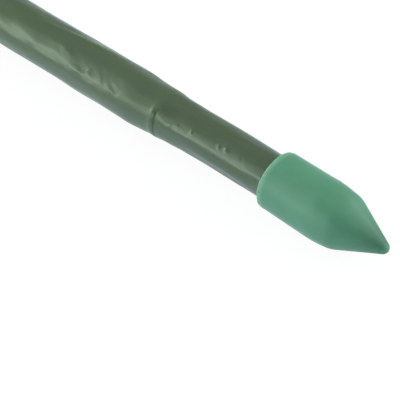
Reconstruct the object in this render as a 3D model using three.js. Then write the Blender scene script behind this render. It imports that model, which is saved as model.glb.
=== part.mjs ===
// Plastic-coated bamboo plant stake: a hollow bamboo cane in a skin of extruded plastic film,
// with a moulded point pushed on its foot and a moulded flat cap pushed on its head.
// Millimetres, +Z up. The stake lies along X on the barrels of its two end mouldings, point at +X,
// and the origin is under the middle of its length, on the surface that it lies on.
import * as THREE from "three";

// Whole stake, from the end of the point to the flat top
const OVERALL_LENGTH = 600;

// Bamboo cane, thin below its first node and thickest just above it
const FOOT_DIAMETER = 8.2;
const SHANK_DIAMETER = 9.25;
const HEAD_DIAMETER = 8.2;
const LUMEN_DIAMETER = 3.2;
const CUT_EDGE = 0.35;

// Nodes: each ring is the scar of a leaf sheath, with a ridge of swollen wood above it
const FIRST_NODE_ABOVE_POINT = 27.8;
const FIRST_INTERNODE = 132;
const INTERNODE_GROWTH = 1.08;
const RING_RISE = 0.13;
const RING_STEP = 0.2;
const RING_LIP = 0.9;
const FLARE_BELOW = 5.5;
const RIDGE_RISE = 0.2;
const RIDGE_ABOVE_RING = 8.6;
const RIDGE_REACH = 30;
const DIAPHRAGM = 1.6;
const PITH_HOLE = 1.0;

// Growth: trimmed buds on alternate sides, rings that slope up to them, and a slight crook
const FIRST_BUD_ANGLE = THREE.MathUtils.degToRad(140);
const BUD_RISE = 0.35;
const BUD_ABOVE_RING = 2.2;
const BUD_LENGTH = 2.6;
const BUD_SHARPNESS = 6;
const RING_SLOPE = 0.15;
const RING_SLOPE_LENGTH = 6;
const CROOK = 0.6;
const CROOK_WAVES = 1.5;

// Plastic film, extruded over the cane
const FILM_THICKNESS = 0.4;
const FILM_CLEARANCE = 0.05;

// Sockets of both end mouldings
const SOCKET_CLEARANCE = 0.15;
const SOCKET_DRAFT = THREE.MathUtils.degToRad(0.4);
const SEAT_CLEARANCE = 0.1;
const RIM_WALL = 1.05;
const RIM_TAPER = 0.185;
const RIM_ROUND = 0.35;
const MOUTH_ROUND = 0.3;

// Point: a barrel that draws in a little at its crown, then a shoulder and a cone
const POINT_SOCKET_DEPTH = 15;
const BARREL_LENGTH = 13;
const CROWN_LENGTH = 4.1;
const CROWN_DRAW = 0.44;
const SHOULDER_ROUND = 1.9;
const CONE_HALF_ANGLE = THREE.MathUtils.degToRad(24.45);
const NIB_RADIUS = 1.15;

// Flat cap
const CAP_SOCKET_DEPTH = 14;
const CAP_END_WALL = 2.2;
const CAP_EDGE_ROUND = 1.1;

// Facets round the stake, and along each curve of a profile
const SEGMENTS = 28;
const CURVE_STEPS = 4;

// Heights are measured up the stake from the cut foot of the cane, which sits in the point
const pointRim = POINT_SOCKET_DEPTH - SEAT_CLEARANCE;
const crown = pointRim - BARREL_LENGTH;
const shoulder = crown - CROWN_LENGTH;
const footFilmRadius = FOOT_DIAMETER / 2 + FILM_CLEARANCE + FILM_THICKNESS;
const headFilmRadius = HEAD_DIAMETER / 2 + FILM_CLEARANCE + FILM_THICKNESS;

// A socket narrows by its draft from its mouth to its end, where it grips the film
const socketEndRadius = (filmRadius) => filmRadius + SOCKET_CLEARANCE;
const socketMouthRadius = (filmRadius, depth) => socketEndRadius(filmRadius) + depth * Math.tan(SOCKET_DRAFT);
const pointMouthRadius = socketMouthRadius(footFilmRadius, POINT_SOCKET_DEPTH);
const capMouthRadius = socketMouthRadius(headFilmRadius, CAP_SOCKET_DEPTH);

// Both mouldings have one outside radius, so that the stake lies level on them
const rimRadius = Math.max(pointMouthRadius, capMouthRadius) + RIM_WALL;
const barrelRadius = rimRadius + RIM_TAPER;
const shoulderRadius = barrelRadius - CROWN_DRAW;

// The ball at the end of the point touches its cone from inside
const coneApex = shoulder - shoulderRadius / Math.tan(CONE_HALF_ANGLE);
const nibCentre = coneApex + NIB_RADIUS / Math.sin(CONE_HALF_ANGLE);
const pointEnd = nibCentre - NIB_RADIUS;

const flatTop = pointEnd + OVERALL_LENGTH;
const caneHead = flatTop - CAP_END_WALL - SEAT_CLEARANCE;
const capRim = flatTop - CAP_END_WALL - CAP_SOCKET_DEPTH;
const nodes = nodeHeights();

// Rings of the cane, each internode a little longer than the one below it.
// The ridge above the last ring ends below the cap.
function nodeHeights() {
  const heights = [];
  let height = pointRim + FIRST_NODE_ABOVE_POINT;
  let internode = FIRST_INTERNODE;
  while (height + RIDGE_REACH < capRim) {
    heights.push(height);
    height += internode;
    internode *= INTERNODE_GROWTH;
  }
  return heights;
}

// Radius of the cane between its nodes: even in the foot, then a taper from the first node to the head
function internodeRadius(height) {
  if (height < nodes[0]) return FOOT_DIAMETER / 2;
  const rise = (height - nodes[0]) / (caneHead - nodes[0]);
  return THREE.MathUtils.lerp(SHANK_DIAMETER, HEAD_DIAMETER, Math.min(rise, 1)) / 2;
}

// Outside of the cane from foot to head, as a curve of radius and height
function culmCurve() {
  const curve = new THREE.Path();
  curve.moveTo(internodeRadius(0), CUT_EDGE);
  for (const ring of nodes) {
    const below = internodeRadius(ring - FLARE_BELOW);
    const above = internodeRadius(ring + RIDGE_REACH);
    const ringRadius = (below + above) / 2 + RING_RISE;
    const ridgeRadius = above + RIDGE_RISE;
    const ridge = ring + RIDGE_ABOVE_RING;
    curve.lineTo(below, ring - FLARE_BELOW);
    curve.quadraticCurveTo(below, ring - FLARE_BELOW / 2, ringRadius - RING_STEP, ring - RING_LIP);
    curve.lineTo(ringRadius, ring);
    curve.bezierCurveTo(
      ringRadius, ring + RIDGE_ABOVE_RING / 2,
      ridgeRadius, ridge - RIDGE_ABOVE_RING / 2,
      ridgeRadius, ridge,
    );
    curve.bezierCurveTo(
      ridgeRadius, ridge + RIDGE_ABOVE_RING,
      above, ridge + RIDGE_ABOVE_RING,
      above, ring + RIDGE_REACH,
    );
  }
  curve.lineTo(internodeRadius(caneHead), caneHead - CUT_EDGE);
  return curve.getPoints(CURVE_STEPS);
}

// Adds a corner to a profile, rounded by an arc that touches the sides before and after it
function roundCorner(profile, corner, next, radius) {
  const back = profile.currentPoint.clone().sub(corner).normalize();
  const on = next.clone().sub(corner).normalize();
  const half = back.angleTo(on) / 2;
  const reach = radius / Math.tan(half);
  const centre = back.clone().add(on).setLength(radius / Math.sin(half)).add(corner);
  const start = back.multiplyScalar(reach).add(corner).sub(centre);
  const clockwise = corner.clone().sub(profile.currentPoint).cross(on) < 0;
  const end = on.multiplyScalar(reach).add(corner).sub(centre);
  profile.absarc(centre.x, centre.y, radius, start.angle(), end.angle(), clockwise);
}

// Turns a profile of radius and height about the stake's axis, with a flat facet underneath
function turn(profile) {
  return new THREE.LatheGeometry(profile, SEGMENTS, Math.PI / SEGMENTS);
}

// Bends a turned solid as the cane grew: buds and sloping rings at the nodes, then the crook.
// It is even to its neighbours in radius, so the film follows the cane without touching it.
function grow(geometry) {
  const position = geometry.getAttribute("position");
  const bump = (distance, length) => Math.exp(-((distance / length) ** 2));
  for (let i = 0; i < position.count; i += 1) {
    const height = position.getY(i);
    const angle = Math.atan2(position.getX(i), position.getZ(i));
    const radius = Math.hypot(position.getX(i), position.getZ(i));
    const share = radius / (SHANK_DIAMETER / 2);
    let grownRadius = radius;
    let grownHeight = height;
    nodes.forEach((ring, index) => {
      const facing = Math.cos(angle - FIRST_BUD_ANGLE - index * Math.PI);
      const bud = Math.max(facing, 0) ** BUD_SHARPNESS * bump(height - ring - BUD_ABOVE_RING, BUD_LENGTH);
      grownRadius += BUD_RISE * share ** 2 * bud;
      grownHeight += RING_SLOPE * share * facing * bump(height - ring, RING_SLOPE_LENGTH);
    });
    const along = Math.PI * height / caneHead;
    const crook = CROOK * Math.sin(along) ** 2 * Math.cos(2 * CROOK_WAVES * along);
    position.setXYZ(i, grownRadius * Math.sin(angle) + crook, grownHeight, grownRadius * Math.cos(angle));
  }
  geometry.computeVertexNormals();
  return geometry;
}

// Cane: the culm outside, cut square at both ends, and a lumen that each diaphragm narrows to a pith hole
function caneGeometry() {
  const lumen = LUMEN_DIAMETER / 2;
  const profile = [new THREE.Vector2(FOOT_DIAMETER / 2 - CUT_EDGE, 0)];
  profile.push(...culmCurve());
  profile.push(new THREE.Vector2(HEAD_DIAMETER / 2 - CUT_EDGE, caneHead));
  profile.push(new THREE.Vector2(lumen, caneHead));
  for (const ring of nodes.toReversed()) {
    profile.push(new THREE.Vector2(lumen, ring + DIAPHRAGM / 2));
    profile.push(new THREE.Vector2(PITH_HOLE / 2, ring + DIAPHRAGM / 2));
    profile.push(new THREE.Vector2(PITH_HOLE / 2, ring - DIAPHRAGM / 2));
    profile.push(new THREE.Vector2(lumen, ring - DIAPHRAGM / 2));
  }
  profile.push(new THREE.Vector2(lumen, 0));
  profile.push(profile[0].clone());
  return grow(turn(profile));
}

// Film: a skin of even thickness over the culm, cut off flush with both ends of the cane
function filmGeometry() {
  const culm = culmCurve();
  culm.unshift(new THREE.Vector2(FOOT_DIAMETER / 2, 0));
  culm.push(new THREE.Vector2(HEAD_DIAMETER / 2, caneHead));
  const inside = culm.map((p) => new THREE.Vector2(p.x + FILM_CLEARANCE, p.y));
  const outside = inside.map((p) => new THREE.Vector2(p.x + FILM_THICKNESS, p.y));
  return grow(turn([...outside, ...inside.toReversed(), outside[0].clone()]));
}

// Point: a round-ended cone, a shoulder, a crown and a barrel that narrows to its rim, with a blind socket
function pointGeometry() {
  const shoulderCorner = new THREE.Vector2(shoulderRadius, shoulder);
  const crownCorner = new THREE.Vector2(barrelRadius, crown);
  const rimOutside = new THREE.Vector2(rimRadius, pointRim);
  const rimInside = new THREE.Vector2(pointMouthRadius, pointRim);
  const socketEnd = new THREE.Vector2(socketEndRadius(footFilmRadius), -SEAT_CLEARANCE);
  const profile = new THREE.Path();
  profile.absarc(0, nibCentre, NIB_RADIUS, -Math.PI / 2, -CONE_HALF_ANGLE, false);
  roundCorner(profile, shoulderCorner, crownCorner, SHOULDER_ROUND);
  profile.lineTo(crownCorner.x, crownCorner.y);
  roundCorner(profile, rimOutside, rimInside, RIM_ROUND);
  roundCorner(profile, rimInside, socketEnd, MOUTH_ROUND);
  profile.lineTo(socketEnd.x, socketEnd.y);
  profile.lineTo(0, socketEnd.y);
  return turn(profile.getPoints(CURVE_STEPS));
}

// Cap: a socket like the point's, closed by a flat end with a rounded edge
function capGeometry() {
  const socketEnd = new THREE.Vector2(socketEndRadius(headFilmRadius), caneHead + SEAT_CLEARANCE);
  const rimInside = new THREE.Vector2(capMouthRadius, capRim);
  const rimOutside = new THREE.Vector2(rimRadius, capRim);
  const topEdge = new THREE.Vector2(barrelRadius, flatTop);
  const topMiddle = new THREE.Vector2(0, flatTop);
  const profile = new THREE.Path();
  profile.moveTo(0, socketEnd.y);
  profile.lineTo(socketEnd.x, socketEnd.y);
  roundCorner(profile, rimInside, rimOutside, MOUTH_ROUND);
  roundCorner(profile, rimOutside, topEdge, RIM_ROUND);
  roundCorner(profile, topEdge, topMiddle, CAP_EDGE_ROUND);
  profile.lineTo(topMiddle.x, topMiddle.y);
  return turn(profile.getPoints(CURVE_STEPS));
}

function piece(name, geometry, color, roughness) {
  const mesh = new THREE.Mesh(geometry, new THREE.MeshStandardMaterial({ color, roughness, metalness: 0 }));
  mesh.name = name;
  return mesh;
}

// The stake is put together upright and laid down, with its point towards +X
const stake = new THREE.Group();
stake.add(piece("bamboo_cane", caneGeometry(), 0xc8aa72, 0.7));
stake.add(piece("plastic_sleeve", filmGeometry(), 0x52644c, 0.25));
stake.add(piece("tip_cap", pointGeometry(), 0x60997c, 0.55));
stake.add(piece("top_cap", capGeometry(), 0x60997c, 0.55));
stake.rotation.z = Math.PI / 2;
stake.position.set(OVERALL_LENGTH / 2 + pointEnd, 0, barrelRadius * Math.cos(Math.PI / SEGMENTS));

const part = new THREE.Group();
part.add(stake);
export default part;
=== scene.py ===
# Plastic-coated bamboo plant stake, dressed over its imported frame.
# Metres, in the frame of the CAD model: the stake lies along X on the floor, with its point at +X.
import math

import bpy
from mathutils import Matrix, Vector


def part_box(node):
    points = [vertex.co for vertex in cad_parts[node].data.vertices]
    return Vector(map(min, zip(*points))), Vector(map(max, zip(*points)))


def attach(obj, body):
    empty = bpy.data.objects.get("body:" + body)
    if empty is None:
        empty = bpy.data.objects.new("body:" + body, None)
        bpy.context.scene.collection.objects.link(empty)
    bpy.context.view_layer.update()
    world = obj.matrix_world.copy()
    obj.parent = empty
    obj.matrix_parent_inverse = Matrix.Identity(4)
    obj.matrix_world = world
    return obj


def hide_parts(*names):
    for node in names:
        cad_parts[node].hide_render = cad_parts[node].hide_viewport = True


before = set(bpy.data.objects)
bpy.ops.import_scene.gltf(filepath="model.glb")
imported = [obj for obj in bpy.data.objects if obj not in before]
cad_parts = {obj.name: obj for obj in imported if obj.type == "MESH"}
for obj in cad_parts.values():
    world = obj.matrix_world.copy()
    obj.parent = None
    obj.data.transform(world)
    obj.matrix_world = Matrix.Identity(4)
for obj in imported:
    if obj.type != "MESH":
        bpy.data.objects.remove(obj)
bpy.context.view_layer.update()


# Bamboo cane: a thin hollow culm, dried, cut square at both ends, swollen at its nodes and a little crooked.
# It carries everything else. One rule of growth gives its outside, and the coating that is drawn over it
# follows the same rule, so a Geometry Nodes tree for that rule is built here and used for both.
MM = 0.001
cane_low, cane_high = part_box("bamboo_cane")
point_low, point_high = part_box("tip_cap")
CANE_FOOT_X = cane_high.x
CANE_LENGTH = cane_high.x - cane_low.x
AXIS_HEIGHT = (point_low.z + point_high.z) / 2
NODE_COUNT = 4
GROWTH = {
    "Foot X": CANE_FOOT_X,
    "Axis Height": AXIS_HEIGHT,
    "Length": CANE_LENGTH,
    "Foot Radius": 4.1 * MM,
    "Shank Radius": 4.625 * MM,
    "Head Radius": 4.1 * MM,
    "First Ring": 42.7 * MM,
    "First Internode": 132 * MM,
    "Internode Growth": 1.08,
    "Flare Below": 5.5 * MM,
    "Ring Lip": 0.9 * MM,
    "Ring Step": 0.2 * MM,
    "Ring Rise": 0.13 * MM,
    "First Scar Angle": math.radians(-88),
    "Bead Rise": 0.0,
    "Bead Length": 0.6 * MM,
    "Ridge Above Ring": 8.6 * MM,
    "Ridge Rise": 0.2 * MM,
    "Ridge Reach": 30 * MM,
    "First Bud Angle": math.radians(140),
    "Bud Rise": 0.35 * MM,
    "Bud Above Ring": 2.2 * MM,
    "Bud Length": 2.6 * MM,
    "Ring Slope": 0.15 * MM,
    "Slope Length": 6 * MM,
    "Crook": 0.6 * MM,
    "Crook Waves": 1.5,
    "Foot Bow": 0.2 * MM,
    "Bow Height": 24 * MM,
    "Bow Length": 16 * MM,
    "Bow Angle": math.radians(50.5),
}
BUD_SHARPNESS = 6
# Cosines of the angle from a scar's middle between which its step fades, and the share that is left all round
SCAR_FADE = (0.6, 0.95)
SCAR_FAINT = 0.08
GATHER_LENGTH = 4 * MM
GATHER_SHARE = 0.8
CANE_TUBE = {
    "Skin": 0.0,
    "Wall": 0.0,
    "Bore": 1.6 * MM,
    "Cut Edge": 0.35 * MM,
    "Diaphragm": 1.6 * MM,
    "Fine Length": 95 * MM,
    "Rings": 420,
    "Bore Rings": 24,
    "Sides": 64,
}
FINE_SHARE = 0.7
DIAPHRAGM_SIDES = 32
DIAPHRAGM_REACH = 1.02
WELD_DISTANCE = 0.001 * MM
WHOLE_NUMBERS = ("Rings", "Bore Rings", "Sides")


class Sum:
    """A number that a node tree works out. Each operation written with it adds one Math node."""

    def __init__(self, tree, socket):
        self.tree = tree
        self.socket = socket

    def math(self, operation, *others):
        node = self.tree.nodes.new("ShaderNodeMath")
        node.operation = operation
        for socket, value in zip(node.inputs, (self, *others)):
            feed(self.tree, value, socket)
        return Sum(self.tree, node.outputs[0])

    def __add__(self, other):
        return self.math("ADD", other)

    def __sub__(self, other):
        return self.math("SUBTRACT", other)

    def __mul__(self, other):
        return self.math("MULTIPLY", other)

    def __truediv__(self, other):
        return self.math("DIVIDE", other)

    def towards(self, other, share):
        """This number moved a share of the way to another."""
        return (self * -1 + other) * share + self

    def ramp(self, start, end):
        """0 before start and 1 after end, with a smooth rise between them."""
        values = {"Value": self, "From Min": start, "From Max": end}
        return Sum(self.tree, place(self.tree, "ShaderNodeMapRange", values, interpolation_type="SMOOTHSTEP"))

    def bell(self, length):
        """1 at 0, with a smooth fall on both sides over a length."""
        return ((self / length).math("POWER", 2) * -1).math("EXPONENT")


def feed(tree, value, socket):
    """Links a socket to what a node puts out, or sets it to a plain value."""
    if isinstance(value, Sum):
        value = value.socket
    if isinstance(value, bpy.types.NodeSocket):
        tree.links.new(value, socket)
    else:
        socket.default_value = value


def place(tree, kind, values, output=0, **settings):
    """Adds a node with its settings and inputs, and gives one of its outputs."""
    node = tree.nodes.new(kind)
    for name, setting in settings.items():
        setattr(node, name, setting)
    for name, value in values.items():
        feed(tree, value, node.inputs[name])
    return node.outputs[output]


def vector(tree, x, y, z):
    return place(tree, "ShaderNodeCombineXYZ", {"X": x, "Y": y, "Z": z})


def noise(tree, where, scale=1.0, detail=0.0, roughness=0.5):
    """Noise about 0, mostly within half a unit."""
    values = {"Vector": where, "Scale": scale, "Detail": detail, "Roughness": roughness}
    return Sum(tree, place(tree, "ShaderNodeTexNoise", values)) - 0.5


def culm_tree(name, tube, relief=None):
    """A tree for a tube that follows the culm, from named sizes. A relief adds to its outside radius."""
    tree = bpy.data.node_groups.new(name, "GeometryNodeTree")
    for label in (*GROWTH, *tube):
        kind = "NodeSocketInt" if label in WHOLE_NUMBERS else "NodeSocketFloat"
        tree.interface.new_socket(name=label, in_out="INPUT", socket_type=kind)
    tree.interface.new_socket(name="Material", in_out="INPUT", socket_type="NodeSocketMaterial")
    tree.interface.new_socket(name="Geometry", in_out="OUTPUT", socket_type="NodeSocketGeometry")
    given = tree.nodes.new("NodeGroupInput")
    size = {label: Sum(tree, given.outputs[label]) for label in (*GROWTH, *tube)}
    length = size["Length"]

    # A grid whose one side runs up the outside and down the bore, and whose other side runs round
    loop = size["Rings"] + size["Bore Rings"]
    grid = place(tree, "GeometryNodeMeshGrid", {
        "Size X": 1.0,
        "Size Y": 1.0,
        "Vertices X": loop + 1,
        "Vertices Y": size["Sides"] + 1,
    })
    spot = tree.nodes.new("ShaderNodeSeparateXYZ")
    tree.links.new(place(tree, "GeometryNodeInputPosition", {}), spot.inputs[0])
    step = ((Sum(tree, spot.outputs["X"]) + 0.5) * loop).math("ROUND").math("MODULO", loop)
    angle = (Sum(tree, spot.outputs["Y"]) + 0.5) * math.tau
    outside = step.math("LESS_THAN", size["Rings"] - 0.5)
    climb = step / (size["Rings"] - 1)
    fine = (climb / FINE_SHARE).math("MINIMUM", 1) * size["Fine Length"]
    coarse = (climb - FINE_SHARE).math("MAXIMUM", 0) / (1 - FINE_SHARE) * (length - size["Fine Length"])
    descent = (step - size["Rings"]) / (size["Bore Rings"] - 1)
    height = (length - length * descent).towards(fine + coarse, outside)

    # Heights of the node rings, with more of the grid's rows gathered round each of them
    first = size["First Ring"]
    rings = [first]
    internode = size["First Internode"]
    for _ in range(NODE_COUNT - 1):
        rings.append(rings[-1] + internode)
        internode = internode * size["Internode Growth"]
    for ring in rings:
        height = height - (height - ring) * (height - ring).bell(GATHER_LENGTH) * GATHER_SHARE

    # Radius and growth at each node, from the foot up
    risen = ((height - first) / (length - first)).math("MAXIMUM", 0)
    above = size["Shank Radius"].towards(size["Head Radius"], risen)
    radius = size["Foot Radius"]
    swelling = height * 0
    lean = height * 0
    for index, ring in enumerate(rings):
        middle = radius.towards(above, 0.5) + size["Ring Rise"]
        ridge = ring + size["Ridge Above Ring"]
        flare = (height - ring + size["Flare Below"]) / (size["Flare Below"] - size["Ring Lip"])
        flare = flare.math("MAXIMUM", 0).math("MINIMUM", 1).math("POWER", 2)
        past_scar = angle - size["First Scar Angle"] - index * math.pi
        scarred = past_scar.math("COSINE").ramp(*SCAR_FADE) * (1 - SCAR_FAINT) + SCAR_FAINT
        radius = radius.towards(middle - size["Ring Step"] * scarred, flare)
        radius = radius.towards(middle, height.ramp(ring - size["Ring Lip"], ring))
        radius = radius.towards(above + size["Ridge Rise"], height.ramp(ring, ridge))
        radius = radius.towards(above, height.ramp(ridge, ring + size["Ridge Reach"]))
        bead = (height - ring - size["Bead Length"]).bell(size["Bead Length"])
        radius = radius + bead * size["Bead Rise"] * scarred
        facing = (angle - size["First Bud Angle"] - index * math.pi).math("COSINE")
        bud = facing.math("MAXIMUM", 0).math("POWER", BUD_SHARPNESS)
        swelling = swelling + bud * (height - ring - size["Bud Above Ring"]).bell(size["Bud Length"])
        lean = lean + facing * (height - ring).bell(size["Slope Length"])

    # Skin and bore
    cut = (height.math("MINIMUM", length - height) * -1 + size["Cut Edge"]).math("MAXIMUM", 0)
    skin = radius + size["Skin"] + size["Bud Rise"] * swelling
    bore = size["Bore"].towards(skin - size["Wall"], size["Wall"].math("GREATER_THAN", 0))
    face = skin - cut
    if relief:
        face = face + relief(tree, height, angle, length)
    reach = bore.towards(face, outside)

    # Crook of the whole culm, bow of its foot, and the place in the frame
    def crook_at(climbed):
        along = climbed / length * math.pi
        swing = (along * size["Crook Waves"] * 2).math("COSINE")
        return along.math("SINE").math("POWER", 2) * swing * size["Crook"]

    bow = (height - size["Bow Height"]).bell(size["Bow Length"]) * size["Foot Bow"]
    spread = vector(
        tree,
        size["Foot X"] - height - lean * size["Ring Slope"] * reach / size["Shank Radius"],
        reach * angle.math("SINE") + crook_at(height) + bow * size["Bow Angle"].math("SINE"),
        reach * angle.math("COSINE") + size["Axis Height"] + bow * size["Bow Angle"].math("COSINE"),
    )
    tube_mesh = place(tree, "GeometryNodeSetPosition", {"Geometry": grid, "Position": spread})
    tube_mesh = place(tree, "GeometryNodeMergeByDistance", {"Geometry": tube_mesh, "Distance": WELD_DISTANCE})
    tube_mesh = place(tree, "GeometryNodeFlipFaces", {"Mesh": tube_mesh})
    whole = tree.nodes.new("GeometryNodeJoinGeometry")
    if "Diaphragm" in tube:
        disc = place(tree, "GeometryNodeMeshCylinder", {
            "Vertices": DIAPHRAGM_SIDES,
            "Radius": size["Bore"] * DIAPHRAGM_REACH,
            "Depth": size["Diaphragm"],
        })
        for ring in rings:
            tree.links.new(place(tree, "GeometryNodeTransform", {
                "Geometry": disc,
                "Translation": vector(tree, size["Foot X"] - ring, crook_at(ring), size["Axis Height"]),
                "Rotation": (0, math.pi / 2, 0),
            }), whole.inputs[0])
    tree.links.new(tube_mesh, whole.inputs[0])
    made = place(tree, "GeometryNodeSetShadeSmooth", {"Geometry": whole.outputs[0]})
    made = place(tree, "GeometryNodeRealizeInstances", {"Geometry": made})
    made = place(tree, "GeometryNodeSetMaterial", {"Geometry": made, "Material": given.outputs["Material"]})
    tree.links.new(made, tree.nodes.new("NodeGroupOutput").inputs[0])
    return tree


def grown(name, tree, sizes, material):
    """Runs a tree with its inputs set, and keeps what it makes as a plain mesh."""
    piece = bpy.data.objects.new(name, bpy.data.meshes.new(name))
    bpy.context.scene.collection.objects.link(piece)
    modifier = piece.modifiers.new("growth", "NODES")
    modifier.node_group = tree
    for item in tree.interface.items_tree:
        if item.in_out == "INPUT":
            modifier[item.identifier] = material if item.name == "Material" else sizes[item.name]
    evaluated = piece.evaluated_get(bpy.context.evaluated_depsgraph_get())
    mesh = bpy.data.meshes.new_from_object(evaluated)
    piece.modifiers.clear()
    piece.data = mesh
    mesh.shade_smooth()
    return piece


def finish_with(name, **sockets):
    """A material with its plain sockets set, and its tree and shader to work on."""
    material = bpy.data.materials.new(name)
    material.use_nodes = True
    shader = material.node_tree.nodes["Principled BSDF"]
    for label, value in sockets.items():
        shader.inputs[label.replace("_", " ")].default_value = value
    return material, material.node_tree, shader


def stretched(tree, along, across, turn=0.0):
    """Object coordinates in lengths of a pattern, along the stake and across it."""
    return place(tree, "ShaderNodeMapping", {
        "Vector": tree.nodes.new("ShaderNodeTexCoord").outputs["Object"],
        "Rotation": (0, 0, turn),
        "Scale": (1 / along, 1 / across, 1 / across),
    })


def object_place(tree, axis):
    """The Object coordinate on one axis, as a number to work with."""
    spot = tree.nodes.new("ShaderNodeSeparateXYZ")
    tree.links.new(tree.nodes.new("ShaderNodeTexCoord").outputs["Object"], spot.inputs[0])
    return Sum(tree, spot.outputs[axis])


def blend(tree, share, first, second, kind="MIX"):
    """Mixes two colours, or multiplies the first by the second."""
    node = tree.nodes.new("ShaderNodeMix")
    node.data_type = "RGBA"
    node.blend_type = kind
    for socket, value in ((node.inputs[0], share), (node.inputs[6], first), (node.inputs[7], second)):
        feed(tree, value, socket)
    return node.outputs[2]


def bumped(tree, shader, height, depth):
    """Feeds a height, in units of a depth in metres, to the normal of a shader."""
    normal = place(tree, "ShaderNodeBump", {"Strength": 1.0, "Distance": depth, "Height": height})
    tree.links.new(normal, shader.inputs["Normal"])


STRAW = (0.578, 0.402, 0.168, 1)
STRAW_DARK = (0.36, 0.222, 0.08, 1)
CUT_FACE = (0.66, 0.50, 0.27, 1)
BUNDLE = (0.24, 0.13, 0.05, 1)
FIBRE_LENGTH = 30 * MM
FIBRE_WIDTH = 0.35 * MM
FIBRE_DEPTH = 0.06 * MM
PATCH_LENGTH = 25 * MM
PATCH_WIDTH = 5 * MM
PATCH_SHARE = 0.6
STRAW_BALANCE = 0.45
STRAW_FADE = (0.2, 0.9)
BUNDLE_LENGTH = 40 * MM
BUNDLE_SPACING = 0.42 * MM
BUNDLE_FADE = (0.42, 0.2)
BUNDLE_SHARE = 0.85
PORE_DEPTH = -0.5
CUT_FADE = (CANE_LENGTH / 2 - 0.5 * MM, CANE_LENGTH / 2 - 0.3 * MM)
bamboo, tree, shader = finish_with("dry_bamboo", Roughness=0.62)
fibres = noise(tree, stretched(tree, FIBRE_LENGTH, FIBRE_WIDTH), detail=3)
patches = noise(tree, stretched(tree, PATCH_LENGTH, PATCH_WIDTH), detail=2)
darkness = (fibres + patches * PATCH_SHARE + STRAW_BALANCE).ramp(*STRAW_FADE)
skin_colour = blend(tree, darkness, STRAW, STRAW_DARK)
bundles = place(tree, "ShaderNodeTexVoronoi", {
    "Vector": stretched(tree, BUNDLE_LENGTH, BUNDLE_SPACING),
    "Scale": 1.0,
})
pores = Sum(tree, bundles).ramp(*BUNDLE_FADE)
end_colour = blend(tree, pores * BUNDLE_SHARE, CUT_FACE, BUNDLE)
from_middle = (object_place(tree, "X") - (CANE_FOOT_X - CANE_LENGTH / 2)).math("ABSOLUTE")
at_cut = from_middle.ramp(*CUT_FADE)
tree.links.new(blend(tree, at_cut, skin_colour, end_colour), shader.inputs["Base Color"])
bumped(tree, shader, fibres + pores * PORE_DEPTH, FIBRE_DEPTH)

cane = grown("cane_culm", culm_tree("culm_growth", CANE_TUBE), {**GROWTH, **CANE_TUBE}, bamboo)
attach(cane, "shaft")
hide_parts("bamboo_cane")


# Coating: a sleeve of glossy olive film, extruded hot over the cane and shrunk on from end to end.
# It shows the nodes and the flats of the cane, keeps some slack folds above the first node, and covers
# grit as small pimples. It ends flush with the cut ends of the cane.
FILM_TUBE = {
    "Skin": 0.45 * MM,
    "Wall": 0.4 * MM,
    "Bore": 0.0,
    "Cut Edge": 0.0,
    "Fine Length": 95 * MM,
    "Rings": 780,
    "Bore Rings": 96,
    "Sides": 112,
}
FILM_SHAPE = {
    **GROWTH,
    **FILM_TUBE,
    "Ring Lip": 0.42 * MM,
    "Ring Step": 0.17 * MM,
    "Bead Rise": 0.13 * MM,
}
FILM_RADIUS = 5 * MM
SOCKET_REACH = 15.5 * MM
RELIEF_FADE = 4 * MM
FILM_SEED = 3.0
FLAT_LENGTH = 12 * MM
FLAT_WIDTH = 2.1 * MM
FLAT_DEPTH = 0.32 * MM
RIPPLE_LENGTH = 3.5 * MM
RIPPLE_WIDTH = 1.6 * MM
RIPPLE_DEPTH = 0.09 * MM
FOLD_TWIST = -0.09 / MM
FOLD_LENGTH = 2.2 * MM
FOLD_WIDTH = 0.9 * MM
FOLD_DEPTH = 0.06 * MM
SLACK_FROM = 46 * MM
SLACK_TO = 76 * MM
SLACK_FADE = 9 * MM
SLACK_SIDE = math.radians(-58)
SLACK_EDGE = (0.88, 0.985)
GRIT = 0.38
PIMPLE = 0.11
PIT = -0.05
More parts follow.
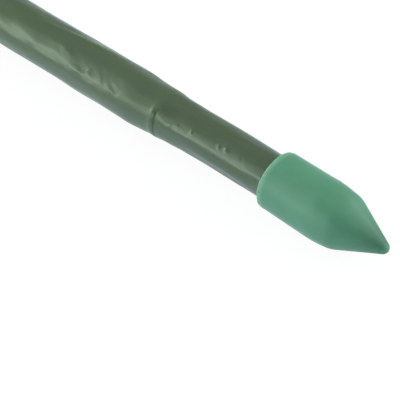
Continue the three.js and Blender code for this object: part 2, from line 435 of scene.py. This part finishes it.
# Swells, flats, folds, pimples and pits of the film, listed in millimetres and degrees:
# height up the cane, angle round it, half length, half width, rise and lean.
FILM_MARKS = (
    # Swells, flats and crests along the streak and above it
    (87.0, -56.0, 4.5, 1.2, 0.12, 0),
    (82.0, 4.0, 6.0, 1.6, 0.22, 0),
    (79.0, -63.0, 3.5, 1.3, -0.18, 6),
    (74.0, -47.0, 5.5, 1.0, 0.05, 0),
    (73.0, -2.0, 6.0, 0.4, 0.14, -12),
    (70.5, -62.0, 3.5, 1.0, -0.13, 6),
    (66.5, 7.0, 3.0, 0.6, 0.2, -6),
    (62.5, 14.0, 1.6, 0.7, 0.16, 0),
    (30.0, 8.0, 14.0, 2.2, -0.18, 0),
    (20.0, 12.0, 6.0, 1.8, -0.12, 0),
    # Swells and hollows of the outline
    (82.0, -129.5, 10.0, 2.5, 0.14, 0),
    (63.4, -129.5, 4.5, 2.5, 0.22, 0),
    (49.3, -129.5, 2.2, 2.5, 0.11, 0),
    (43.6, -129.5, 1.3, 2.5, -0.12, 0),
    (38.6, -129.5, 1.8, 2.5, 0.09, 0),
    (47.0, 50.5, 3.0, 2.5, -0.18, 0),
    (42.3, 50.5, 2.0, 2.5, -0.07, 0),
    (37.5, 50.5, 2.0, 2.5, 0.1, 0),
    # Slack folds above the first node
    (66.3, -40.0, 2.2, 0.7, 0.13, 14),
    (62.5, -61.5, 1.5, 0.6, 0.12, -10),
    (62.4, -51.5, 1.3, 0.6, -0.14, 0),
    (60.0, -54.0, 0.7, 0.8, 0.08, 0),
    (57.2, -58.0, 0.9, 0.7, 0.06, 0),
    (56.3, -61.0, 1.2, 0.35, 0.05, 55),
    (53.8, -64.0, 1.2, 0.8, 0.09, 0),
    (53.3, -54.5, 1.3, 0.45, -0.14, 22),
    (51.9, -56.0, 0.8, 0.35, -0.08, -30),
    (49.5, -62.0, 3.0, 1.2, 0.1, 0),
    # Dimples at the first ring
    (43.3, -56.0, 0.45, 0.5, 0.09, 0),
    (42.6, 24.0, 0.6, 0.8, -0.08, 0),
    (42.4, -71.0, 0.45, 0.5, -0.1, 0),
    # Swells and grit below the first node
    (40.8, -60.0, 1.2, 0.9, 0.06, 0),
    (38.6, -61.5, GRIT, GRIT, PIMPLE, 0),
    (37.9, -56.5, GRIT, GRIT, PIMPLE, 0),
    (37.5, -51.0, 3.2, 1.3, -0.12, 0),
    (37.2, -54.5, GRIT, GRIT, PIMPLE, 0),
    (33.6, -51.5, GRIT, GRIT, PIMPLE, 0),
    (32.0, -45.0, 2.2, 0.3, 0.03, 0),
    (26.8, -47.5, GRIT, GRIT, PIMPLE, 0),
    (25.5, -60.0, 9.5, 1.0, 0.055, 0),
    (25.0, -45.5, 0.5, 0.5, 0.11, 0),
    (21.0, -44.0, GRIT, GRIT, PIT, 0),
)


def drawn_out(tree, height, angle, length, width, twist=0.0, detail=1):
    """Noise on the film, in grains with a length up the cane and a width round it, straight or wound."""
    wound = angle + height * twist
    count = FILM_RADIUS / width
    where = vector(
        tree,
        height / length + FILM_SEED,
        wound.math("SINE") * count,
        wound.math("COSINE") * count,
    )
    return noise(tree, where, detail=detail)


def slack(height, angle):
    """1 where the film is slack, on one side above the first node, and 0 elsewhere."""
    rise = height.ramp(SLACK_FROM, SLACK_FROM + SLACK_FADE)
    rise = rise - height.ramp(SLACK_TO - SLACK_FADE, SLACK_TO)
    return rise * (angle - SLACK_SIDE).math("COSINE").ramp(*SLACK_EDGE)


def film_mark(height, angle, up_cane, turn, length, width, rise, lean):
    """One mark of the film, as a smooth mound, or a hollow where its rise is below 0."""
    beside = (angle - math.radians(turn)).math("SINE") * FILM_RADIUS
    along = height - up_cane * MM
    slant = math.radians(lean)
    lengthwise = along * math.cos(slant) + beside * math.sin(slant)
    crosswise = beside * math.cos(slant) - along * math.sin(slant)
    near = (angle - math.radians(turn)).math("COSINE").math("GREATER_THAN", 0)
    return lengthwise.bell(length * MM) * crosswise.bell(width * MM) * near * (rise * MM)


def film_relief(tree, height, angle, length):
    """Flats, ripples, folds and pimples of the film, which fade out in the sockets at both ends."""
    relief = drawn_out(tree, height, angle, FLAT_LENGTH, FLAT_WIDTH, detail=0) * FLAT_DEPTH
    relief = relief + drawn_out(tree, height, angle, RIPPLE_LENGTH, RIPPLE_WIDTH) * RIPPLE_DEPTH
    folds = drawn_out(tree, height, angle, FOLD_LENGTH, FOLD_WIDTH, FOLD_TWIST)
    relief = relief + folds * slack(height, angle) * FOLD_DEPTH
    for mark in FILM_MARKS:
        relief = relief + film_mark(height, angle, *mark)
    clear = height.ramp(SOCKET_REACH - RELIEF_FADE, SOCKET_REACH)
    clear = clear - height.ramp(length - SOCKET_REACH, length - SOCKET_REACH + RELIEF_FADE)
    return relief * clear


def shader_group(name, inputs, outputs):
    """A shader node group with named sockets, and its input and output nodes."""
    group = bpy.data.node_groups.new(name, "ShaderNodeTree")
    for label, kind in inputs.items():
        group.interface.new_socket(name=label, in_out="INPUT", socket_type=kind)
    for label, kind in outputs.items():
        group.interface.new_socket(name=label, in_out="OUTPUT", socket_type=kind)
    return group, group.nodes.new("NodeGroupInput"), group.nodes.new("NodeGroupOutput")


# Pigment that is not quite even, for both plastics
CLOUD_FADE = (0.25, 0.75)
pigment, given, result = shader_group(
    "uneven_pigment",
    {"Vector": "NodeSocketVector", "Colour": "NodeSocketColor", "Other": "NodeSocketColor"},
    {"Colour": "NodeSocketColor", "Cloud": "NodeSocketFloat"},
)
cloud = noise(pigment, given.outputs["Vector"], detail=4, roughness=0.6) + 0.5
mixed = blend(pigment, cloud.ramp(*CLOUD_FADE), given.outputs["Colour"], given.outputs["Other"])
pigment.links.new(mixed, result.inputs["Colour"])
feed(pigment, cloud, result.inputs["Cloud"])

# Fine scratches and specks from handling, for both plastics
SCRATCH_TURN = (0.5, 0.3, 0.6)
SCRATCH_STRETCH = (0.12, 1.6, 1.6)
SCRATCH_FADE = (0.2, 0.3)
SPECK_SCALE = 0.5
SPECK_FADE = (0.16, 0.06)
handling, given, result = shader_group(
    "handling_marks",
    {"Vector": "NodeSocketVector", "Scratches": "NodeSocketFloat", "Specks": "NodeSocketFloat"},
    {"Mask": "NodeSocketFloat", "Height": "NodeSocketFloat"},
)
scratch_place = place(handling, "ShaderNodeMapping", {
    "Vector": given.outputs["Vector"],
    "Rotation": SCRATCH_TURN,
    "Scale": SCRATCH_STRETCH,
})
scratches = noise(handling, scratch_place, detail=2).ramp(*SCRATCH_FADE)
scratches = scratches * Sum(handling, given.outputs["Scratches"])
grains = place(handling, "ShaderNodeTexVoronoi", {"Vector": given.outputs["Vector"], "Scale": SPECK_SCALE})
specks = Sum(handling, grains).ramp(*SPECK_FADE) * Sum(handling, given.outputs["Specks"])
feed(handling, scratches.math("MAXIMUM", specks), result.inputs["Mask"])
feed(handling, specks - scratches, result.inputs["Height"])


def grouped(tree, group, values):
    """Puts a node group in a tree, with its inputs fed."""
    node = tree.nodes.new("ShaderNodeGroup")
    node.node_tree = group
    for label, value in values.items():
        feed(tree, value, node.inputs[label])
    return node


OLIVE = (0.072, 0.111, 0.054, 1)
OLIVE_BLUE = (0.064, 0.106, 0.064, 1)
DUSTY = (0.3, 0.34, 0.28, 1)
DUST_SHARE = 0.12
WHITE = (1, 1, 1, 1)
# Painted shade: the film below the first node, towards the point, is darkened and cooled a little
SHADE_BELOW_NODE = (0.92, 0.91, 0.96, 1)
FIRST_NODE_FADE = (36 * MM, 46 * MM)
OLIVE_CLOUD_LENGTH = 14 * MM
OLIVE_CLOUD_WIDTH = 4 * MM
FILM_WEAR_SIZE = 0.6 * MM
FILM_WEAR_DEPTH = 0.1
FILM_ROUGHNESS = 0.25
CLOUD_ROUGHNESS = 0.12
WEAR_ROUGHNESS = 0.12
SHANK_ROUGHNESS = 0.04
SHANK_GLOSS = 0.06
GLOSS_FADE = (45 * MM, 65 * MM)
DRAW_LINE_LENGTH = 30 * MM
DRAW_LINE_WIDTH = 0.5 * MM
DRAW_LINE_DEPTH = 0.35
PEEL_LENGTH = 1.1 * MM
PEEL_WIDTH = 0.7 * MM
PEEL_DEPTH = 0.8
FINE_FOLD_LENGTH = 2 * MM
FINE_FOLD_WIDTH = 0.4 * MM
FINE_FOLD_DEPTH = 1.5
FILM_GRAIN_DEPTH = 0.012 * MM
DULL_HEIGHT = 48.0 * MM
DULL_LENGTH = 5.5 * MM
DULL_SIDE = math.radians(-50)
DULL_REACH = math.radians(14)
DULL_ROUGHNESS = 0.12
olive_film, tree, shader = finish_with(
    "olive_film",
    IOR=1.65,
    Specular_Tint=(0.8, 1, 0.76, 1),
    Sheen_Weight=0.15,
    Sheen_Roughness=0.35,
    Sheen_Tint=(0.75, 0.92, 1, 1),
)
height = object_place(tree, "X") * -1 + CANE_FOOT_X
angle = object_place(tree, "Y").math("ARCTAN2", object_place(tree, "Z") - AXIS_HEIGHT)
shade = grouped(tree, pigment, {
    "Vector": stretched(tree, OLIVE_CLOUD_LENGTH, OLIVE_CLOUD_WIDTH),
    "Colour": OLIVE,
    "Other": OLIVE_BLUE,
})
wear = grouped(tree, handling, {
    "Vector": stretched(tree, FILM_WEAR_SIZE, FILM_WEAR_SIZE),
    "Scratches": 0.25,
    "Specks": 0.2,
})
scuffed = Sum(tree, wear.outputs["Mask"])
# Painted shade below the first node: the olive is multiplied darker there
above_node = height.ramp(*FIRST_NODE_FADE)
shade_painted_colour = blend(tree, 1.0, shade.outputs["Colour"], blend(tree, above_node, SHADE_BELOW_NODE, WHITE), "MULTIPLY")
tree.links.new(blend(tree, scuffed * DUST_SHARE, shade_painted_colour, DUSTY), shader.inputs["Base Color"])
rough = Sum(tree, shade.outputs["Cloud"]) * CLOUD_ROUGHNESS + scuffed * WEAR_ROUGHNESS
rough = rough + above_node * SHANK_ROUGHNESS - height.ramp(*GLOSS_FADE) * SHANK_GLOSS
dull = (height - DULL_HEIGHT).bell(DULL_LENGTH) * (angle - DULL_SIDE).bell(DULL_REACH)
feed(tree, rough + dull * DULL_ROUGHNESS + FILM_ROUGHNESS, shader.inputs["Roughness"])
draw_lines = noise(tree, stretched(tree, DRAW_LINE_LENGTH, DRAW_LINE_WIDTH), detail=1)
peel = noise(tree, stretched(tree, PEEL_LENGTH, PEEL_WIDTH), detail=1)
fine_folds = drawn_out(tree, height, angle, FINE_FOLD_LENGTH, FINE_FOLD_WIDTH, FOLD_TWIST)
grain = draw_lines * DRAW_LINE_DEPTH + peel * PEEL_DEPTH
grain = grain + fine_folds * slack(height, angle) * FINE_FOLD_DEPTH
grain = grain + Sum(tree, wear.outputs["Height"]) * FILM_WEAR_DEPTH
bumped(tree, shader, grain, FILM_GRAIN_DEPTH)

film = grown("film_sleeve", culm_tree("film_over_growth", FILM_TUBE, film_relief), FILM_SHAPE, olive_film)
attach(film, "shaft")
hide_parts("plastic_sleeve")


# Point: a soft sea-green polythene moulding, pushed on the foot of the coated cane.
# It is a round-ended cone on a short barrel with a rounded lip, and shows the seam of its two-part mould.
POINT_SIDES = 180
POINT_RIM_X = point_low.x + 0.1 * MM
POINT_END_X = point_high.x - 0.15 * MM
END_GAP = 0.1 * MM
SOCKET_END_X = CANE_FOOT_X + END_GAP
HALF_SOCKET = 7.5 * MM
CROWN_X = POINT_RIM_X + 12.8 * MM
SHOULDER_X = CROWN_X + 4.1 * MM
SOCKET_MOUTH_RADIUS = 4.805 * MM
SOCKET_END_RADIUS = 4.8 * MM
RIM_RADIUS = 5.855 * MM
BARREL_RADIUS = 6.04 * MM
SHOULDER_RADIUS = 5.6 * MM
NIB_RADIUS = 1.2 * MM
NIB_STEPS = 10
CONE_HALF_ANGLE = math.radians(24.45)
CROWN_ROUND = 20 * MM
SHOULDER_ROUND = 6 * MM
RIM_ROUND = 0.35 * MM
MOUTH_ROUND = 0.3 * MM
HAIR = 0.01 * MM
LONGEST_FACE = 0.8 * MM
SEAM_ANGLE = math.radians(50.5)
SEAM_HEIGHT = 0.05 * MM
SEAM_WIDTH = 0.22 * MM
FLASH_X = POINT_RIM_X + 11.3 * MM
FLASH_LENGTH = 0.35 * MM
FLASH_HEIGHT = 0.14 * MM
LIP_FLASH = 0.12 * MM
LIP_FLASH_LENGTH = 0.4 * MM
# The share of the flash that is even, then each wave's share, its number round the lip and its start
LIP_FLASH_EVEN = 0.6
LIP_FLASH_WAVES = ((0.25, 5, 1), (0.2, 13, 2), (0.15, 29, 0))
COCKED = math.radians(1.85)


def rounded(corners, steps=10):
    """A profile of (along, radius) points, from corners with a radius each that become arcs."""
    profile = []
    for index, (corner, radius) in enumerate(corners):
        if not radius:
            profile.append(corner)
            continue
        back = (corners[index - 1][0] - corner).normalized()
        on = (corners[index + 1][0] - corner).normalized()
        half = back.angle(on) / 2
        centre = corner + (back + on).normalized() * (radius / math.sin(half))
        start = corner + back * (radius / math.tan(half)) - centre
        sweep = start.angle_signed(corner + on * (radius / math.tan(half)) - centre)
        for step in range(steps + 1):
            profile.append(centre + Matrix.Rotation(-sweep * step / steps, 2) @ start)
    return profile


def divided(profile, longest):
    """The same profile with its long straights cut up."""
    finer = [profile[0]]
    for before, after in zip(profile, profile[1:]):
        parts = max(1, math.ceil((after - before).length / longest))
        finer += [before.lerp(after, part / parts) for part in range(1, parts + 1)]
    return finer


def turned(name, profile, sides, shaped, material):
    """Turns a profile that starts and ends on the axis, with each point's radius given by a shaping rule."""
    points, faces = [], []
    inner = profile[1:-1]
    for along, radius in inner:
        for side in range(sides):
            angle = math.tau * side / sides
            reach = shaped(along, radius, angle)
            points.append((along, reach * math.sin(angle), AXIS_HEIGHT + reach * math.cos(angle)))
    ends = [len(points), len(points) + 1]
    points += [(profile[0].x, 0, AXIS_HEIGHT), (profile[-1].x, 0, AXIS_HEIGHT)]
    last = (len(inner) - 1) * sides
    for side in range(sides):
        after = (side + 1) % sides
        faces.append((ends[0], after, side))
        faces.append((ends[1], last + side, last + after))
        for row in range(len(inner) - 1):
            low, high = row * sides, (row + 1) * sides
            faces.append((low + side, low + after, high + after, high + side))
    mesh = bpy.data.meshes.new(name)
    mesh.from_pydata(points, [], faces)
    mesh.validate()
    mesh.shade_smooth()
    mesh.materials.append(material)
    piece = bpy.data.objects.new(name, mesh)
    bpy.context.scene.collection.objects.link(piece)
    return piece


def seam(angle, radius):
    """Height of the mould's seam, on two opposite sides."""
    beside = radius * math.sin(angle - SEAM_ANGLE)
    return SEAM_HEIGHT * math.exp(-((beside / SEAM_WIDTH) ** 2))


def lip_flash(past_lip, angle):
    """Uneven flash that the mould leaves round a lip."""
    waves = [share * math.sin(count * angle + start) for share, count, start in LIP_FLASH_WAVES]
    uneven = sum(waves, LIP_FLASH_EVEN)
    return LIP_FLASH * uneven * math.exp(-((past_lip / LIP_FLASH_LENGTH) ** 2))


def point_shape(along, radius, angle):
    """Radius of the point with its seam and flash, which leave the socket clear."""
    socket = radius < SOCKET_MOUTH_RADIUS + MOUTH_ROUND and along < SOCKET_END_X + HAIR
    lengthwise = (along - FLASH_X) / FLASH_LENGTH
    crosswise = (angle - SEAM_ANGLE) * radius / SEAM_WIDTH
    flash = FLASH_HEIGHT * math.exp(-(lengthwise ** 2) - crosswise ** 2)
    flash += lip_flash(along - POINT_RIM_X, angle)
    return radius if socket else radius + seam(angle, radius) + flash


nib_centre = POINT_END_X - NIB_RADIUS
nib = [
    Vector((nib_centre + NIB_RADIUS * math.cos(turn), NIB_RADIUS * math.sin(turn)))
    for turn in [(math.pi / 2 - CONE_HALF_ANGLE) * step / NIB_STEPS for step in range(NIB_STEPS + 1)]
]
point_corners = [(spot, 0) for spot in nib] + [
    (Vector((SHOULDER_X, SHOULDER_RADIUS)), SHOULDER_ROUND),
    (Vector((CROWN_X, BARREL_RADIUS)), CROWN_ROUND),
    (Vector((POINT_RIM_X, RIM_RADIUS)), RIM_ROUND),
    (Vector((POINT_RIM_X, SOCKET_MOUTH_RADIUS)), MOUTH_ROUND),
    (Vector((SOCKET_END_X, SOCKET_END_RADIUS)), 0),
    (Vector((SOCKET_END_X, 0)), 0),
]

SEA_GREEN = (0.077, 0.270, 0.156, 1)
SEA_GREEN_PALE = (0.090, 0.294, 0.178, 1)
# Painted highlight: a paler green band at the lips of the point and the cap, in patches, for light that
# catches and shines through the thin lips
LIP_HIGHLIGHT_GREEN = (0.22, 0.51, 0.32, 1)
LIP_HIGHLIGHT_FADE = (1.7 * MM, 0.1 * MM)
LIP_HIGHLIGHT_PATCH_SIZE = 0.5 * MM
LIP_HIGHLIGHT_PATCH_FADE = (0.1, 0.6)
SCUFFED_GREEN = (0.25, 0.45, 0.34, 1)
SCUFF_SHARE = 0.2
# Painted shade: the cone is darkened towards the nib, and left unshaded at the nib's very end
TIP_PAINTED_SHADE = (0.74, 0.74, 0.74, 1)
TIP_SHADE_FADE = (SHOULDER_X + 2 * MM, POINT_END_X - 1.5 * MM)
NIB_FADE = (POINT_END_X - 1.2 * MM, POINT_END_X)
GREEN_CLOUD_SIZE = 5 * MM
GREEN_WEAR_SIZE = 0.5 * MM
GREEN_WEAR_DEPTH = 0.8
GREEN_ROUGHNESS = 0.42
MOULD_GRAIN_SIZE = 0.12 * MM
MOULD_GRAIN_DEPTH = 0.008 * MM
cap_low, cap_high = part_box("top_cap")
CAP_RIM_X = cap_high.x
green_moulding, tree, shader = finish_with(
    "green_moulding",
    IOR=1.5,
    Specular_IOR_Level=0.5,
    Sheen_Weight=0.35,
    Sheen_Roughness=0.25,
    Sheen_Tint=(0.8, 0.95, 1, 1),
)
shade = grouped(tree, pigment, {
    "Vector": stretched(tree, GREEN_CLOUD_SIZE, GREEN_CLOUD_SIZE),
    "Colour": SEA_GREEN,
    "Other": SEA_GREEN_PALE,
})
wear = grouped(tree, handling, {
    "Vector": stretched(tree, GREEN_WEAR_SIZE, GREEN_WEAR_SIZE),
    "Scratches": 0.6,
    "Specks": 0.5,
})
along = object_place(tree, "X")
past_lip = (along - POINT_RIM_X).math("ABSOLUTE").math("MINIMUM", (along - CAP_RIM_X).math("ABSOLUTE"))
# Painted highlight in patches along both lips
lip_highlight_patches = noise(tree, stretched(tree, LIP_HIGHLIGHT_PATCH_SIZE, LIP_HIGHLIGHT_PATCH_SIZE), detail=1) + 0.5
lip_highlight = past_lip.ramp(*LIP_HIGHLIGHT_FADE) * lip_highlight_patches.ramp(*LIP_HIGHLIGHT_PATCH_FADE)
# Painted shade on the cone towards the nib
painted_tip_shade = along.ramp(*TIP_SHADE_FADE) - along.ramp(*NIB_FADE)
shade_painted_colour = blend(tree, 1.0, shade.outputs["Colour"], blend(tree, painted_tip_shade, WHITE, TIP_PAINTED_SHADE), "MULTIPLY")
light_painted_and_scuffed = blend(tree, lip_highlight, shade_painted_colour, LIP_HIGHLIGHT_GREEN)
light_painted_and_scuffed = blend(tree, Sum(tree, wear.outputs["Mask"]) * SCUFF_SHARE, light_painted_and_scuffed, SCUFFED_GREEN)
tree.links.new(light_painted_and_scuffed, shader.inputs["Base Color"])
rough = Sum(tree, shade.outputs["Cloud"]) * CLOUD_ROUGHNESS + GREEN_ROUGHNESS
feed(tree, rough, shader.inputs["Roughness"])
grain = noise(tree, stretched(tree, MOULD_GRAIN_SIZE, MOULD_GRAIN_SIZE), detail=2)
grain = grain + Sum(tree, wear.outputs["Height"]) * GREEN_WEAR_DEPTH
bumped(tree, shader, grain, MOULD_GRAIN_DEPTH)

point_profile = divided(rounded(point_corners), LONGEST_FACE)
point = turned("point_moulding", point_profile, POINT_SIDES, point_shape, green_moulding)
socket_middle = Matrix.Translation((CANE_FOOT_X - HALF_SOCKET, 0, AXIS_HEIGHT))
point.data.transform(socket_middle @ Matrix.Rotation(COCKED, 4, "Y") @ socket_middle.inverted())
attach(point, "point")
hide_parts("tip_cap")


# Cap: a flat-ended socket of the same moulding, pushed on the head of the coated cane.
# It keeps water out of the cut end and takes the push of a hand.
CAP_TOP_X = cap_low.x
CAP_SOCKET_END_X = cane_low.x - END_GAP
CAP_MOUTH_RADIUS = 4.798 * MM
CAP_EDGE_ROUND = 1.1 * MM
GATE_RADIUS = 1.1 * MM
GATE_DEPTH = 0.15 * MM
GATE_TAPER = 0.8
GATE_ROUND = 0.1 * MM


def cap_shape(along, radius, angle):
    """Radius of the cap with its seam and flash, which leave the socket and the flat end clear."""
    socket = radius < CAP_MOUTH_RADIUS + MOUTH_ROUND and along > CAP_SOCKET_END_X - HAIR
    flat = along < CAP_TOP_X + GATE_DEPTH + HAIR
    return radius if socket or flat else radius + seam(angle, radius) + lip_flash(CAP_RIM_X - along, angle)


cap_corners = [
    (Vector((CAP_SOCKET_END_X, 0)), 0),
    (Vector((CAP_SOCKET_END_X, SOCKET_END_RADIUS)), 0),
    (Vector((CAP_RIM_X, CAP_MOUTH_RADIUS)), MOUTH_ROUND),
    (Vector((CAP_RIM_X, RIM_RADIUS)), RIM_ROUND),
    (Vector((CAP_TOP_X, BARREL_RADIUS)), CAP_EDGE_ROUND),
    (Vector((CAP_TOP_X, GATE_RADIUS)), GATE_ROUND),
    (Vector((CAP_TOP_X + GATE_DEPTH, GATE_RADIUS * GATE_TAPER)), GATE_ROUND),
    (Vector((CAP_TOP_X + GATE_DEPTH, 0)), 0),
]
cap_profile = divided(rounded(cap_corners), LONGEST_FACE)
cap = turned("cap_moulding", cap_profile, POINT_SIDES, cap_shape, green_moulding)
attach(cap, "head")
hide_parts("top_cap")


# Floor: a wide sheet of white paper that the stake lies on. The camera sees it white, with a faint shadow.
# The film mirrors it a cool white close to the stake, with painted shade greying it further off beside the
# pointed end.
FLOOR_SIZE = 60
FLOOR_GAP = 0.2 * MM
FLOOR_GLOW = 0.92
FLOOR_WHITE = 1.03
COOL_WHITE = (0.80, 0.88, 0.96, 1)
NEAR_WHITE = (0.90, 1.0, 1.12, 1)
FAR_SHADE_GREY = (0.48, 0.53, 0.58, 1)
BESIDE_FADE = (10 * MM, 45 * MM)
POINTED_END_FADE = (160 * MM, 250 * MM)
FLOOR_CORNERS = ((-1, -1), (1, -1), (1, 1), (-1, 1))
floor_mesh = bpy.data.meshes.new("floor")
floor_mesh.from_pydata(
    [(x * FLOOR_SIZE / 2, y * FLOOR_SIZE / 2, -FLOOR_GAP) for x, y in FLOOR_CORNERS],
    [],
    [(0, 1, 2, 3)],
)
floor = bpy.data.objects.new("floor", floor_mesh)
bpy.context.scene.collection.objects.link(floor)
paper, tree, shader = finish_with("white_paper", Roughness=0.9, Specular_IOR_Level=0.0)
shader.inputs["Base Color"].default_value = COOL_WHITE
glow = tree.nodes.new("ShaderNodeEmission")
glow.inputs["Strength"].default_value = FLOOR_WHITE
seen = tree.nodes.new("ShaderNodeLightPath")
# Painted shade in what the film mirrors: grey away from the stake, beside the pointed end
shade_away = object_place(tree, "Y").math("ABSOLUTE").ramp(*BESIDE_FADE)
shade_away = shade_away * object_place(tree, "X").ramp(*POINTED_END_FADE)
mirrored = blend(tree, shade_away, NEAR_WHITE, FAR_SHADE_GREY)
tree.links.new(blend(tree, seen.outputs["Is Camera Ray"], mirrored, WHITE), glow.inputs["Color"])
seen_share = Sum(tree, seen.outputs["Is Camera Ray"]).math("MAXIMUM", seen.outputs["Is Glossy Ray"])
seen_share = seen_share.math("MAXIMUM", seen.outputs["Is Transmission Ray"])
mix = tree.nodes.new("ShaderNodeMixShader")
feed(tree, seen_share * FLOOR_GLOW, mix.inputs[0])
tree.links.new(shader.outputs[0], mix.inputs[1])
tree.links.new(glow.outputs[0], mix.inputs[2])
tree.links.new(mix.outputs[0], tree.nodes["Material Output"].inputs["Surface"])
floor_mesh.materials.append(paper)


# Light: a white surround, dim on the camera's side and overhead and a little dimmer behind. A long low soft
# box on the left, with a fill above it, draws the streak along the film. Boxes behind, on the right and above
# light the point, and a small one off the head end catches the ridges of the film.
SURROUND = 0.66
OVERHEAD = 0.4
OVERHEAD_FADE = (0.2, 0.7)
DIM_BEHIND = 0.64
BEHIND = Vector((-0.512, 0.845, 0.156))
BEHIND_FADE = (0.6, 0.95)
DIM_SIDE = 0.03
CAMERA_SIDE = Vector((0.62, -0.62, 0.48))
SIDE_FADE = (0.05, 0.8)
LIT_PLACE = Vector((0.2, 0, AXIS_HEIGHT))
world = bpy.data.worlds.new("white_surround")
bpy.context.scene.world = world
world.use_nodes = True
tree = world.node_tree
sky = tree.nodes["Background"]
sky.inputs["Color"].default_value = WHITE
heading = tree.nodes.new("ShaderNodeTexCoord").outputs["Generated"]
upward = tree.nodes.new("ShaderNodeSeparateXYZ")
tree.links.new(heading, upward.inputs[0])


def facing(direction):
    """Cosine of the angle between a part of the surround and a direction."""
    node = tree.nodes.new("ShaderNodeVectorMath")
    node.operation = "DOT_PRODUCT"
    tree.links.new(heading, node.inputs[0])
    node.inputs[1].default_value = direction.normalized()
    return Sum(tree, node.outputs["Value"])


level = Sum(tree, upward.outputs["Z"]).ramp(*OVERHEAD_FADE) * (OVERHEAD - SURROUND) + SURROUND
level = level.towards(level * DIM_BEHIND, facing(BEHIND).ramp(*BEHIND_FADE))
level = level.towards(DIM_SIDE, facing(CAMERA_SIDE).ramp(*SIDE_FADE))
feed(tree, level, sky.inputs["Strength"])
white = tree.nodes.new("ShaderNodeBackground")
white.inputs["Color"].default_value = WHITE
path = tree.nodes.new("ShaderNodeLightPath")
pick = tree.nodes.new("ShaderNodeMixShader")
tree.links.new(path.outputs["Is Camera Ray"], pick.inputs[0])
tree.links.new(sky.outputs[0], pick.inputs[1])
tree.links.new(white.outputs[0], pick.inputs[2])
tree.links.new(pick.outputs[0], tree.nodes["World Output"].inputs["Surface"])


def soft_box(name, heading, distance, width, height, power):
    """A soft box at a heading from the pointed end of the stake, turned towards it, in metres and watts."""
    lamp = bpy.data.lights.new(name, "AREA")
    lamp.shape = "RECTANGLE"
    lamp.size = width
    lamp.size_y = height
    lamp.energy = power
    box = bpy.data.objects.new(name, lamp)
    bpy.context.scene.collection.objects.link(box)
    box.location = LIT_PLACE + heading.normalized() * distance
    box.rotation_euler = (-heading).to_track_quat("-Z", "Y").to_euler()
    box.visible_camera = False


soft_box("left_soft_box", Vector((-0.502, -0.855, 0.13)), 1.2, 1.6, 0.30, 5.6)
soft_box("left_fill_box", Vector((-0.51, -0.74, 0.45)), 1.2, 1.6, 0.5, 2.2)
soft_box("back_soft_box", Vector((0.45, 0.66, 0.6)), 1.6, 1.8, 0.9, 13.0)
soft_box("right_soft_box", Vector((0.8, 0.5, 0.3)), 1.6, 1.6, 0.8, 8.0)
soft_box("top_soft_box", Vector((0.35, -0.05, 0.95)), 1.6, 1.2, 1.2, 5.0)
soft_box("end_soft_box", Vector((-0.86, -0.25, 0.45)), 1.6, 0.7, 0.5, 11.0)


# Camera: a long lens that is close in on the pointed end and looks down on it from the front right.
# The stake comes in at the upper left corner of the picture, and its point ends near the right edge.
CAMERA_AZIMUTH = math.radians(43.10)
CAMERA_ELEVATION = math.radians(41.47)
CAMERA_DISTANCE = 0.7
CAMERA_LENS = 336.84
CAMERA_AIM = Vector((0.26282, -0.01089, 0.00245))
back = Vector((
    math.sin(CAMERA_AZIMUTH) * math.cos(CAMERA_ELEVATION),
    -math.cos(CAMERA_AZIMUTH) * math.cos(CAMERA_ELEVATION),
    math.sin(CAMERA_ELEVATION),
))
camera_data = bpy.data.cameras.new("camera")
camera_data.lens = CAMERA_LENS
camera_data.sensor_width = 36
camera_data.clip_start = 0.01
camera = bpy.data.objects.new("camera", camera_data)
bpy.context.scene.collection.objects.link(camera)
camera.location = CAMERA_AIM + back * CAMERA_DISTANCE
camera.rotation_euler = (-back).to_track_quat("-Z", "Y").to_euler()
bpy.context.scene.camera = camera
bpy.context.scene.view_settings.view_transform = "Standard"
